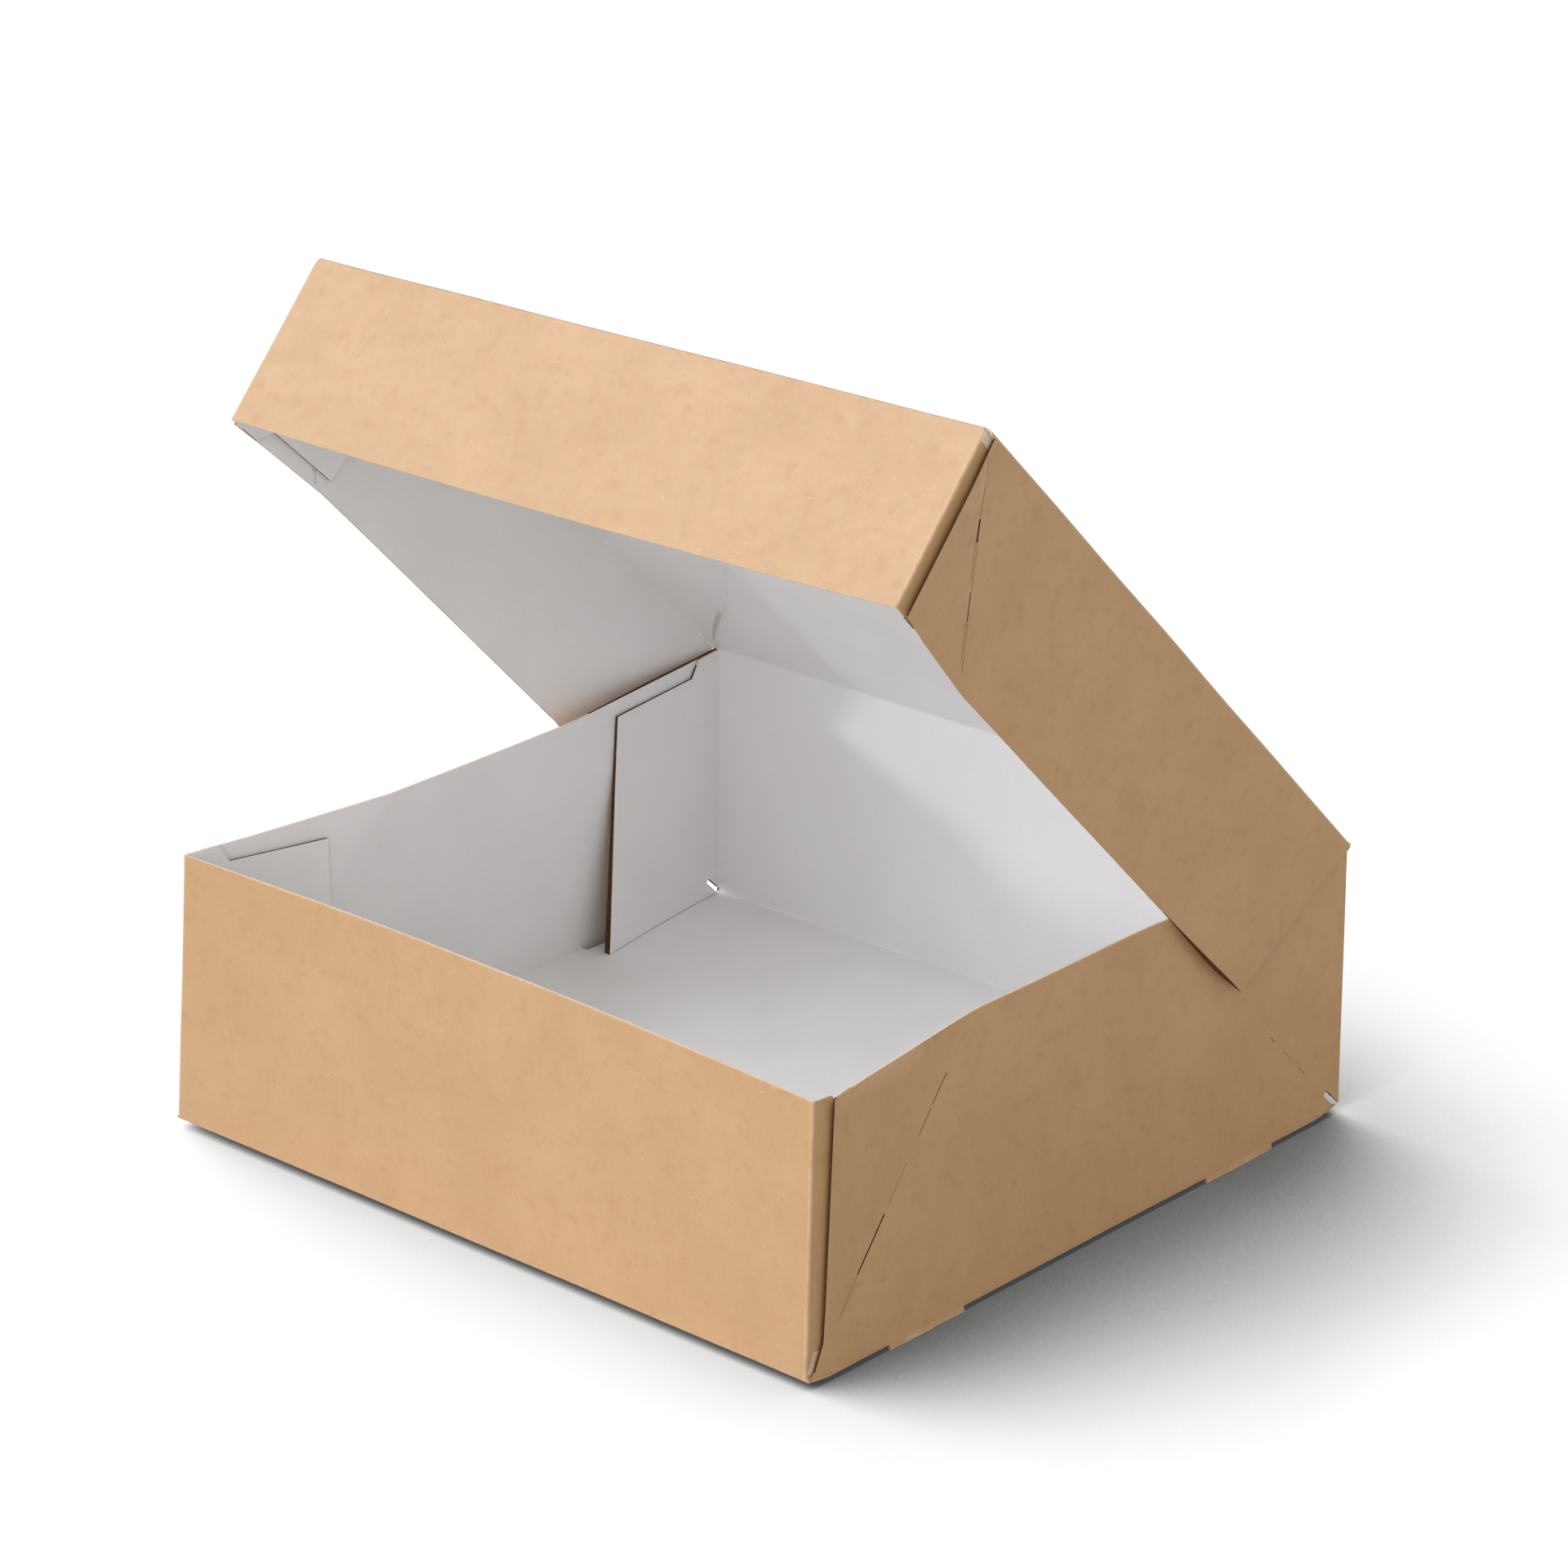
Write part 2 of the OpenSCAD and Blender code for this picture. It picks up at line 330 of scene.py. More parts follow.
def tray_point(x, y, z):
    """Moves a point of the true tray to where it is on the real one."""
    u = (x / HALF_W + 1) / 2
    w = (y / HALF_D + 1) / 2
    h = (z - FOOT) / WALL
    share = {"fl": (1 - u) * (1 - w), "fr": u * (1 - w), "br": u * w, "bl": (1 - u) * w}
    dx = sum(s * (TRAY_FOOT[k][0] * (1 - h) + TRAY_RIM[k][0] * h) for k, s in share.items())
    dy = sum(s * (TRAY_FOOT[k][1] * (1 - h) + TRAY_RIM[k][1] * h) for k, s in share.items())
    dy += FRONT_BOW * 4 * u * (1 - u) * max(0.0, 1 - w) ** 2 * h
    z += h * sum(RIM_LIFT.get(k, 0) * s for k, s in share.items())
    along = y + HALF_D
    ends = share_of(along, SAG_EASE) * share_of(SAG_END - along, SAG_EASE)
    low_and_right = min(1, max(0, 1 - 8 * h)) * max(0, 12 * u - 11)
    z -= FOOT_SAG * ends * low_and_right
    return wander((x + dx, y + dy, z))


def lid_point(x, s, n):
    """The place of the open lid's point at x, s along it from its crease and n below its top."""
    u = (x / LID_HALF_W + 1) / 2
    q = s / LID_L
    m = n / SKIRT
    moved = []
    for k in range(3):
        top = LID_TOP["l"][k] * (1 - u) + LID_TOP["r"][k] * u
        low = LID_LOW["l"][k] * (1 - u) + LID_LOW["r"][k] * u
        moved.append(q * (top * (1 - m) + low * m))
    x, s, n = x + moved[0], s + moved[1], n + moved[2]
    n += LOW_BOW * 4 * u * (1 - u) * m * q ** 8
    up = BOARD / 2 - n
    y = HINGE_Y - s * math.cos(LID_OPEN) + up * math.sin(LID_OPEN)
    z = HINGE_Z + s * math.sin(LID_OPEN) + up * math.cos(LID_OPEN)
    return wander((x, y, z))


# The tray

# how far each side wall's rim leans in at its front and back creases
LEAN = {-1: (9.5, 8.6), 1: (6.6, 5.0)}
# the side walls spring away from the glued flaps a little at their front edges
SPRING = 0.6
SPRING_AT = 6.6
SPRING_WIDTH = 7
SPRING_EASE = 12
# how far the glued flaps' lining faces move in at their lower free corners, and where that starts:
# the board thickens there and shows a wider band of painted shade along its free edge
FLAP_LIFT = 1.5
FLAP_LIFT_FROM = 12


def lean_turn(side, front):
    """Angle by which the end of a side wall turns in."""
    return math.atan(LEAN[side][0 if front else 1] / (WALL * TRAY_RUN))


def wall_lean(side, y, z):
    """How far a side wall's outer face leans in, at y from the front and z above its crease."""
    front, back = LEAN[side]
    middle = (front + (back - front) * y / DEPTH) / WALL * z
    near = min(y * math.tan(lean_turn(side, True)), (DEPTH - y) * math.tan(lean_turn(side, False)))
    return smooth_least(near, middle)


def side_wall_place(side):
    """The place function of a side wall, from (y from the front, z above its crease)."""
    def place(y, z, depth):
        x = HALF_W - wall_lean(side, y, z) - depth
        x += SPRING * bump(y, SPRING_AT, SPRING_WIDTH) * share_of(z, SPRING_EASE)
        if side < 0 and z > WALL - 0.1:
            step = RIM_STEP * share_of(y - RIM_STEP_FROM, RIM_STEP_EASE)
            z += step * (1 - depth / BOARD)
        return tray_point(side * x, y - HALF_D, FOOT + z)
    return place


# the side walls' front edges above the foot, from the rim down, as (from the front, height)
WALL_FRONT = {-1: ((6.6, WALL - 0.6), (6.6, 11)), 1: ((6.6, WALL - 1.3), (4.9, 8.4))}
WALL_FOOT = 1.6
BACK_SETBACK = 0.6
# the left rim's kraft layer stands a little above its lining towards the back, which widens the
# painted shade on that rim's edge
RIM_STEP = 0.36
RIM_STEP_FROM = DEPTH - 64
RIM_STEP_EASE = 30
# how far down the walls' rims are pale, from wear and a painted highlight
RIM_WEAR_AND_HIGHLIGHT = 0.6
# the fine cuts along the slanting creases: (from the wall's end, height) of both ends, and width;
# the left wall has only the lowest ones at its front
FRONT_CUTS = (
    ((10.8, 12.2), (17.9, 20.2), 0.16), ((18.0, 20.4), (28.0, 31.6), 0.5),
    ((29.5, 33.3), (36.5, 41.2), 0.12), ((41.0, 46.3), (45.6, 51.5), 0.22),
    ((46.0, 52.1), (51.5, 58.2), 0.26))
LEFT_FRONT_CUTS = 3
BACK_CUTS = (
    ((14.0, 13.0), (16.4, 15.6), 0.13), ((19.0, 18.4), (22.2, 21.7), 0.11),
    ((25.5, 25.2), (27.0, 26.8), 0.16))
# the open slits at the back corners' feet, through the wall and through the flap behind it
WALL_SLIT = {-1: ((0.3, 0.5), (6.0, 5.4), 1.4), 1: ((1.0, 0.0), (5.9, 5.4), 1.5)}
FLAP_SLIT = {-1: ((0.9, 1.0), (6.0, 5.4), 1.4), 1: ((0.4, -0.4), (5.3, 5.0), 1.6)}


def tray_side(bm, side):
    """A side wall with its tongues."""
    outline = [*WALL_FRONT[side], (WALL_FOOT, END)]
    for y0, y1 in TONGUES:
        outline += [(y0, END), (y0, -FOOT), (y1, -FOOT), (y1, END)]
    back = DEPTH - BACK_SETBACK
    outline += [(back, END), (back, WALL), (TRAY_RUN * WALL, WALL)]
    front_cuts = FRONT_CUTS if side > 0 else FRONT_CUTS[:LEFT_FRONT_CUTS]
    slots = [slot_between(*cut) for cut in front_cuts]
    for a, b, width in BACK_CUTS + (WALL_SLIT[side],):
        slots.append(slot_between((DEPTH - a[0], a[1]), (DEPTH - b[0], b[1]), width))

    def edge(y, z):
        """Painted shade at the front corner's gap and on the rim under the skirt, brown along the
        foot.
        """
        if y < 7.5 and z > 3:
            return PAINTED_SHADE
        if z > WALL - 0.1 and y > DEPTH - 62:
            return PAINTED_SHADE
        if z < 3 or y > DEPTH - 3 or y < 13 and side > 0:
            return BROWN
        return RAW

    cuts = crease_cuts(DEPTH, TRAY_RUN, TRAY_RUN) + [((0, WALL - RIM_WEAR_AND_HIGHLIGHT), (0, 1))]
    sheet(bm, outline, side_wall_place(side), cuts, slots, edge)


def flap_outline(length, height, foot, dip=0.0, splay=3.5, drop=4.3, fall=0.0, step=9.5):
    """The outline of a glued flap from its crease at 0, as (distance, height), from the foot up.

    Its upper edge leaves the rim dip lower at step from the crease, slants down by drop, and falls
    on to the free end, which splays out towards the foot.
    """
    return [
        (0, END), (2, foot), (length + splay, foot), (length, height - drop - fall),
        (step + 3.5, height - drop), (step, height - dip), (0, height)]


# the pale web at the foot of the front right corner: its lower and upper end, and its slant
WEB_LOW = 2.0
WEB_TOP = 6.8
WEB_RUN = 0.46
# where the back wall's foot is cut away at its right end, and how high
BACK_NOTCH = 98.5
NOTCH_TOP = 3.2


def end_wall(bm, front):
    """The front or back wall with its glued flaps."""
    half = HALF_W - BOARD - CORNER_R - FLAP_GAP
    height = WALL if front else WALL + LAP
    length = 45 if front else 47.8
    turns = [math.pi / 2 + lean_turn(side, front) for side in (-1, 1)]
    sign = 1 if front else -1

    def place(s, z, depth):
        x, y, inward_x, inward_y = both_ends(s, half, CORNER_R, *turns)
        beyond = max(0.0, abs(s) - half - FLAP_LIFT_FROM) / length
        lift = FLAP_LIFT * beyond ** 2 * (1.1 - z / WALL) * depth / BOARD
        x += inward_x * (depth + lift)
        y += inward_y * (depth + lift)
        return tray_point(x, sign * (y - HALF_D), FOOT + z)

    outline = []
    cuts = []
    slots = []
    for side, turn in zip((1, -1), reversed(turns)):
        start = half + CORNER_R * turn
        if front and side < 0:
            shape = flap_outline(43, WALL, 1.2, drop=4.9, fall=1.6)
        elif front:
            shape = flap_outline(length, WALL, 1.2, dip=0.9, step=6.2)
        else:
            shape = flap_outline(length, WALL, 0.65, splay=4.6)
            (d0, z0), (d1, z1), width = FLAP_SLIT[side]
            ends = [(side * (start + d0 - CORNER_R), z0), (side * (start + d1 - CORNER_R), z1)]
            slots.append(slot_between(*ends, width))
        part = [(side * (start + d), z) for d, z in shape]
        if not front and side > 0:
            notch = [(BACK_NOTCH, END), (BACK_NOTCH, NOTCH_TOP), (start + 1.4, NOTCH_TOP)]
            part = notch + part[1:]
        outline += part if side > 0 else part[::-1]
        cuts += corner_cuts(half, start, side)
    if not front:
        outline = [(s, height if z == WALL else z) for s, z in outline]
    cuts.append(((0, WALL - RIM_WEAR_AND_HIGHLIGHT), (0, 1)))

    def edge(s, z):
        if z < 2:
            return BROWN
        # painted shade on the flaps' free edges, for the gap behind them
        return PAINTED_SHADE if abs(s) > half + 4 and z < WALL - 1 else RAW

    web = half + CORNER_R * turns[1] - 0.7

    def face(s, z):
        pale = front and WEB_LOW < z < WEB_TOP and s > web + (z - FOLD_R) * WEB_RUN
        return WEB if pale else KRAFT

    if front:
        cuts += [((web, FOLD_R), (1, -WEB_RUN)), ((0, WEB_TOP), (0, 1)), ((0, WEB_LOW), (0, 1))]
    sheet(bm, outline, place, cuts, slots, edge, face)


def end_fold(bm, front):
    """The fold between the floor and the front or back wall."""
    half = HALF_W - BOARD - 0.1
    right = half if front else BACK_NOTCH
    sign = 1 if front else -1

    def place(x, a, depth):
        r = FOLD_R - depth
        y = -HALF_D + FOLD_R - r * math.sin(a / FOLD_R)
        z = FOOT + FOLD_R - r * math.cos(a / FOLD_R)
        return tray_point(x, sign * y, z)

    fold_strip(bm, -half, right, place)


def tray_floor(bm):
    """The floor with the folds to the side walls, notched where the tongues are cut from it."""
    half = HALF_W - FOLD_R

    def place(s, y, depth):
        x, z, inward_x, inward_z = both_ends(s, half, FOLD_R, math.pi / 2, math.pi / 2)
        return tray_point(x + inward_x * depth, y - HALF_D, FOOT + z + inward_z * depth)

    edge = half + QUARTER
    notch = HALF_W - BOARD - FOOT
    right = [(half, END), (edge, 2)]
    for y0, y1 in TONGUES:
        right += [(edge, y0), (notch, y0), (notch, y1), (edge, y1)]
    right += [(edge, DEPTH - 2), (half, DEPTH - END)]
    outline = right + [(-s, y) for s, y in reversed(right)]
    sheet(bm, outline, place, edge_fold_cuts(half), (), lambda s, y: BROWN)


# The lid

# how far each skirt's lower edge leans in at the slanting crease
LID_LEAN = {-1: 3.4, 1: 2.7}
# how far the skirts spring away from the glued flaps at their front edges
LID_SPRING = 0.8
# the fine cuts along each skirt's slanting crease: start and end below the top, offset and width
LID_CUTS = (
    (4.8, 15.9, 0, 0.14), (16.1, 20.3, 0, 0.6), (20.5, 28.8, 0.4, 0.13), (20.5, 27.6, -0.6, 0.13),
    (29.2, 34.5, 0, 0.34), (34.8, 43.8, 0.4, 0.14), (34.8, 42.0, -0.6, 0.13))
CUT_RUN = 0.76
# how far behind the lid's front the side skirts end
LID_SEAM = 3.3
# how deep each skirt is where the slanting crease meets its lower edge
SKIRT_KINK = {-1: 44.4, 1: 47.0}
# the skirts' slanting back edges as (from the crease, below the top), and how far they curl in
BACK_EDGE = ((0.8, 5), (11.6, 47.8))
BACK_CURL = 0.4
CURL_WIDTH = 3.5
CURL_LINES = (1.2, 2.4, 3.8, 5.5, 7.5)
# how much lower the lining reaches than the kraft layer along the skirts' lower edges at the back,
# which widens the painted shade of that edge
LINING_DROP = 0.9
# where the tips of the skirts' back ends reach past the crease, beside the bent board
TIP = ((-0.3, END), (0.0, 2.2))
# length of the pale end of the lid's front corner folds
LID_PALE = 3.4


def skirt_lean(side, s, n):
    """How far a side skirt's outer face leans in, at s from the crease and n below the top."""
    rate = LID_LEAN[side] / SKIRT
    near = min((LID_L - s) * rate / LID_RUN, s * rate)
    return smooth_least(near, n * rate)


def from_back_edge(s, n):
    """How far a point of a skirt is from its slanting back edge."""
    a, b = (Vector(p) for p in BACK_EDGE)
    d = (a - b).normalized()
    return abs((Vector((s, n)) - a).cross(d))


def lid_side(bm, side):
    """A side skirt: glued at its front, free along its slanting back edge."""
    front = LID_L - LID_SEAM

    def place(s, n, depth):
        x = LID_HALF_W - skirt_lean(side, s, n) - depth
        x += LID_SPRING * bump(s, front, SPRING_WIDTH) * share_of(n, 10)
        x -= BACK_CURL * bump(from_back_edge(s, n), 0, CURL_WIDTH) * share_of(n - 2, 8)
        if depth and n > SKIRT + 1.5:
            n += LINING_DROP * share_of(s - 12, 10) * share_of(50 - s, 20)
        return lid_point(side * x, s, n)

    kink = (LID_L - LID_RUN * SKIRT, SKIRT_KINK[side])
    outline = [TIP[0], (front, END), (front, SKIRT), kink, *reversed(BACK_EDGE), TIP[1]]
    slots = []
    for start, end, off, width in LID_CUTS:
        a, b = ((LID_L - CUT_RUN * n - off, n) for n in (start, end))
        slots.append(slot_between(a, b, width))
    cuts = crease_cuts(LID_L, 1, LID_RUN)
    run = Vector(BACK_EDGE[1]) - Vector(BACK_EDGE[0])
    for off in CURL_LINES:
        away = Vector((-run.y, run.x)).normalized() * -off
        cuts.append(((BACK_EDGE[0][0] + away.x, BACK_EDGE[0][1] + away.y), (run.y, -run.x)))

    def edge(s, n):
        """Painted shade at the front corner's gap and under the deep part at the back."""
        if s > front - 0.1 and n < SKIRT - 0.2:
            return PAINTED_SHADE
        return PAINTED_SHADE if n > SKIRT and 12 < s < 52 else BROWN

    sheet(bm, outline, place, cuts, slots, edge)


def lid_front(bm):
    """The lid's front skirt with its glued flaps."""
    half = LID_HALF_W - BOARD - CORNER_R - FLAP_GAP
    turns = [math.pi / 2 + math.atan(LID_LEAN[side] / SKIRT / LID_RUN) for side in (-1, 1)]

    def place(p, n, depth):
        x, back, inward_x, inward_back = both_ends(p, half, CORNER_R, *turns)
        return lid_point(x + inward_x * depth, LID_L - back - inward_back * depth, n)

    outline = []
    cuts = []
    for side, turn in zip((1, -1), reversed(turns)):
        start = half + CORNER_R * turn
        part = [(side * (start + d), n) for d, n in flap_outline(36.5, SKIRT, 1.2)]
        outline += part if side > 0 else part[::-1]
        cuts += corner_cuts(half, start, side)

    def edge(p, n):
        # painted shade on the flaps' free edges, for the gap behind them
        return PAINTED_SHADE if abs(p) > half + 4 else RAW

    def face(p, n):
        return RAW if p > half + 0.5 and n < LID_PALE else KRAFT

    cuts.append(((0, LID_PALE), (0, 1)))
    sheet(bm, outline, place, cuts, (), edge, face)


def lid_front_fold(bm):
    """The fold between the lid's top and its front skirt."""
    half = LID_HALF_W - BOARD - FOLD_R

    def place(x, a, depth):
        r = FOLD_R - depth
        s = LID_L - FOLD_R + r * math.sin(a / FOLD_R)
        n = FOLD_R - r * math.cos(a / FOLD_R)
        return lid_point(x, s, n)

    fold_strip(bm, -half, half, place)


def lid_top(bm):
    """The lid's top with the folds to its side skirts."""
    half = LID_HALF_W - FOLD_R

    def place(p, s, depth):
        x, n, inward_x, inward_n = both_ends(p, half, FOLD_R, math.pi / 2, math.pi / 2)
        return lid_point(x + inward_x * depth, s, n + inward_n * depth)

    edge = half + QUARTER
    right = [(half, LID_START), (edge, 0.0), (edge, LID_L - 2), (half, LID_L - END)]
    outline = right + [(-p, s) for p, s in reversed(right)]
    cuts = [((0, LID_L - FOLD_R - BESIDE_FOLD), (0, 1)), ((0, LID_START + BESIDE_FOLD), (0, 1))]
    sheet(bm, outline, place, cuts + edge_fold_cuts(half))


# the wrinkle in the lid's lining beside the hinge's left end, as points (x, along, height, width)
WRINKLE = (
    (-100.2, 6.0, 0.0, 0.6), (-97.0, 11.0, 0.3, 1.2), (-91.4, 18.5, 0.6, 1.8),
    (-86.5, 25.0, 0.6, 1.6), (-81.1, 31.5, 0.9, 1.8), (-75.8, 38.6, 0.9, 1.7),
    (-69.3, 47.3, 0.8, 1.6), (-63.8, 56.4, 0.5, 1.4), (-58.4, 65.5, 0.0, 0.6))
# its section, as shares of its width and height, and how far its feet lie off the lining
RIDGE = ((-1, -0.05), (-0.4, 0.75), (0, 1), (0.25, 0.8), (0.6, -0.05))
RIDGE_FOOT = 0.03
# how many of its stretches, from the hinge, are darker and browner
BROWNER_STRETCHES = 4


def lid_wrinkle(bm):
    """A low ridge pushed up in the lining."""
    rows = []
    for k, (x, s, height, width) in enumerate(WRINKLE):
        before, after = WRINKLE[max(0, k - 1)], WRINKLE[min(len(WRINKLE) - 1, k + 1)]
        across = Vector((after[1] - before[1], before[0] - after[0])).normalized() * width / 2
        row = []
        for share, lift in RIDGE:
            at = Vector((x, s)) + across * share
            row.append(bm.verts.new(lid_point(at.x, at.y, BOARD + RIDGE_FOOT + lift * height) * MM))
        rows.append(row)
    made = []
    for k, (low, high) in enumerate(zip(rows, rows[1:])):
        for j in range(len(RIDGE) - 1):
            face = bm.faces.new([low[j], low[j + 1], high[j + 1], high[j]])
            face.material_index = BROWNER if k < BROWNER_STRETCHES else LINING
            made.append(face)
    for f in made:
        f.normal_update()
    down = sum((f.normal for f in made), Vector())
    if down.z > 0:
        bmesh.ops.reverse_faces(bm, faces=made)


# The crease that joins them

def hinge_crease(bm):
    """The bent board between the back wall's top and the lid, in the part-open position.

    Gives the two points where its bend starts and ends.
    """
    turn = math.pi / 2 - LID_OPEN
    radius = LID_START / math.tan(turn / 2)
    arc = radius * turn
    half = LID_HALF_W - 0.1
    start_z = HINGE_Z - LID_START

    def place(x, a, depth):
        t = max(0.0, min(arc, a)) / radius
        out = BOARD / 2 - depth
        y = HINGE_Y - radius * (1 - math.cos(t)) + out * math.cos(t)
        z = start_z + radius * math.sin(t) + out * math.sin(t)
        return wander((x, y, z))

    cuts = [((0, arc * k / 8), (0, 1)) for k in range(1, 8)]
    sheet(bm, [(-half, 0), (half, 0), (half, arc), (-half, arc)], place, cuts)
    start = Vector((0, HINGE_Y, start_z))
    along_lid = Vector((0, -math.cos(LID_OPEN), math.sin(LID_OPEN)))
    end = Vector((0, HINGE_Y, HINGE_Z)) + LID_START * along_lid
    return start * MM, end * MM


# Materials

BUMP_DEPTH = 0.2 * MM


def nodes_of(name):
    """A new material with a Principled shader: the material, its nodes and the shader."""
    material = bpy.data.materials.new(name)
    material.use_nodes = True
    tree = material.node_tree
    tree.nodes.clear()
    shader = tree.nodes.new("ShaderNodeBsdfPrincipled")
    output = tree.nodes.new("ShaderNodeOutputMaterial")
    tree.links.new(shader.outputs["BSDF"], output.inputs["Surface"])
    return material, tree, shader


def colour(r, g, b):
    """A colour written as it renders, 0 to 255."""
    def linear(c):
        c /= 255
        return c / 12.92 if c <= 0.04045 else ((c + 0.055) / 1.055) ** 2.4
    return (linear(r), linear(g), linear(b), 1.0)


def noise_tex(tree, scale, detail=3.0, rough=0.5, stretch=None):
    """Noise fixed to the object, with scale in waves to the metre."""
    coords = tree.nodes.new("ShaderNodeTexCoord")
    tex = tree.nodes.new("ShaderNodeTexNoise")
    tex.inputs["Scale"].default_value = scale
    tex.inputs["Detail"].default_value = detail
    tex.inputs["Roughness"].default_value = rough
    if stretch:
        mapping = tree.nodes.new("ShaderNodeMapping")
        mapping.inputs["Scale"].default_value = stretch
        tree.links.new(coords.outputs["Object"], mapping.inputs["Vector"])
        tree.links.new(mapping.outputs["Vector"], tex.inputs["Vector"])
    else:
        tree.links.new(coords.outputs["Object"], tex.inputs["Vector"])
    return tex.outputs["Fac"]


def ramp(tree, value, low, high, out_low=0.0, out_high=1.0):
    """Maps low..high to out_low..out_high, with the ends held."""
    node = tree.nodes.new("ShaderNodeMapRange")
    node.clamp = True
    limits = {"From Min": low, "From Max": high, "To Min": out_low, "To Max": out_high}
    for name, v in limits.items():
        node.inputs[name].default_value = v
    tree.links.new(value, node.inputs["Value"])
    return node.outputs["Result"]


def mix(tree, factor, a, b):
    """A colour between a and b; each is a colour or a socket."""
    node = tree.nodes.new("ShaderNodeMix")
    node.data_type = "RGBA"
    for socket, v in ((node.inputs[0], factor), (node.inputs[6], a), (node.inputs[7], b)):
        if hasattr(v, "is_linked"):
            tree.links.new(v, socket)
        else:
            socket.default_value = v
    return node.outputs[2]


def add_bump(tree, shader, height, strength):
    """Lets a height from 0 to 1 roughen the surface by up to BUMP_DEPTH."""
    node = tree.nodes.new("ShaderNodeBump")
    node.inputs["Strength"].default_value = strength
    node.inputs["Distance"].default_value = BUMP_DEPTH
    tree.links.new(height, node.inputs["Height"])
    tree.links.new(node.outputs["Normal"], shader.inputs["Normal"])


def kraft_material():
    """Brown kraft: cloudy, mottled, with dark and pale fibres, and paler along folds from wear and
    a painted highlight.
    """
    material, tree, shader = nodes_of("kraft_face")
    cloudy = ramp(tree, noise_tex(tree, 55, 4, 0.55), 0.32, 0.68)
    base = mix(tree, cloudy, colour(191, 151, 105), colour(198, 158, 113))
    mottle = ramp(tree, noise_tex(tree, 240, 4, 0.6), 0.52, 0.72, 0.0, 0.55)
    base = mix(tree, mottle, base, colour(183, 139, 96))
    flecks = ramp(tree, noise_tex(tree, 1500, 2, 0.6, (1.0, 1.0, 0.35)), 0.66, 0.76, 0.0, 0.5)
    base = mix(tree, flecks, base, colour(164, 122, 83))
    pale = ramp(tree, noise_tex(tree, 1100, 2, 0.6, (0.4, 1.0, 1.0)), 0.66, 0.76, 0.0, 0.4)
    base = mix(tree, pale, base, colour(215, 185, 149))
    pale_fold = tree.nodes.new("ShaderNodeAttribute")
    pale_fold.attribute_name = "fold_wear_and_highlight"
    pale_patches = ramp(tree, noise_tex(tree, 420, 3, 0.6), 0.35, 0.65, 0.25, 0.8)
    both = tree.nodes.new("ShaderNodeMath")
    both.operation = "MULTIPLY"
    tree.links.new(pale_patches, both.inputs[0])
    tree.links.new(pale_fold.outputs["Fac"], both.inputs[1])
    # paler along folds and rims: wear and a painted highlight
    base = mix(tree, both.outputs[0], base, colour(215, 182, 144))
    tree.links.new(base, shader.inputs["Base Color"])
    rough = ramp(tree, noise_tex(tree, 300, 3, 0.6), 0.3, 0.7, 0.5, 0.6)
    tree.links.new(rough, shader.inputs["Roughness"])
    shader.inputs["Specular IOR Level"].default_value = 0.85
    add_bump(tree, shader, noise_tex(tree, 900, 5, 0.65), 0.25)
    return material


def lining_material():
    """The pale grey lining, smoother than the kraft."""
    material, tree, shader = nodes_of("grey_lining")
    cloudy = ramp(tree, noise_tex(tree, 45, 3, 0.5), 0.3, 0.7)
    base = mix(tree, cloudy, colour(242, 240, 239), colour(246, 245, 244))
    fine = ramp(tree, noise_tex(tree, 700, 3, 0.6), 0.55, 0.75, 0.0, 0.4)
    base = mix(tree, fine, base, colour(237, 234, 232))
    tree.links.new(base, shader.inputs["Base Color"])
    rough = ramp(tree, noise_tex(tree, 220, 3, 0.6), 0.3, 0.7, 0.46, 0.58)
    tree.links.new(rough, shader.inputs["Roughness"])
    add_bump(tree, shader, noise_tex(tree, 600, 4, 0.6), 0.12)
    return material


def edge_material(name, low, high):
    """Cut board, fibrous and matt, between two colours."""
    material, tree, shader = nodes_of(name)
    fibre = ramp(tree, noise_tex(tree, 1300, 3, 0.6), 0.35, 0.65)
    base = mix(tree, fibre, low, high)
    tree.links.new(base, shader.inputs["Base Color"])
    shader.inputs["Roughness"].default_value = 0.85
    shader.inputs["Specular IOR Level"].default_value = 0.1
    add_bump(tree, shader, noise_tex(tree, 1500, 4, 0.7), 0.4)
    return material


# Putting it together

# the turn of a fold, in degrees, from which it is paler from wear and a painted highlight, and how
# much more makes it full
WEAR_AND_HIGHLIGHT_FROM = 3
WEAR_AND_HIGHLIGHT_EASE = 7
# an edge that turns by more than this, in degrees, is shaded as a sharp one
SHARP = 35


def mark_wear_and_highlight(mesh_bm, rims):
    """Marks the points on folds, where the kraft face is paler from wear and a painted highlight,
    and on rims if asked.
    """
    layer = mesh_bm.verts.layers.float.new("fold_wear_and_highlight")
    for v in mesh_bm.verts:
        faces = [f for f in v.link_faces if f.material_index == KRAFT]
        if len(faces) > 1:
            spread = max(faces[0].normal.angle(f.normal) for f in faces[1:])
            v[layer] = share_of(math.degrees(spread) - WEAR_AND_HIGHLIGHT_FROM, WEAR_AND_HIGHLIGHT_EASE)
        if rims and faces and any(f.material_index == RAW for f in v.link_faces):
            v[layer] = 1.0


def board_object(name, bm, materials, rims=False):
    """Makes an object of the sheets in bm."""
    bm.normal_update()
    mark_wear_and_highlight(bm, rims)
    mesh = bpy.data.meshes.new(name)
    bm.to_mesh(mesh)
    bm.free()
    for m in materials:
        mesh.materials.append(m)
    mesh.shade_smooth()
    mesh.set_sharp_from_angle(angle=math.radians(SHARP))
    obj = bpy.data.objects.new(name, mesh)
    bpy.context.scene.collection.objects.link(obj)
    return obj


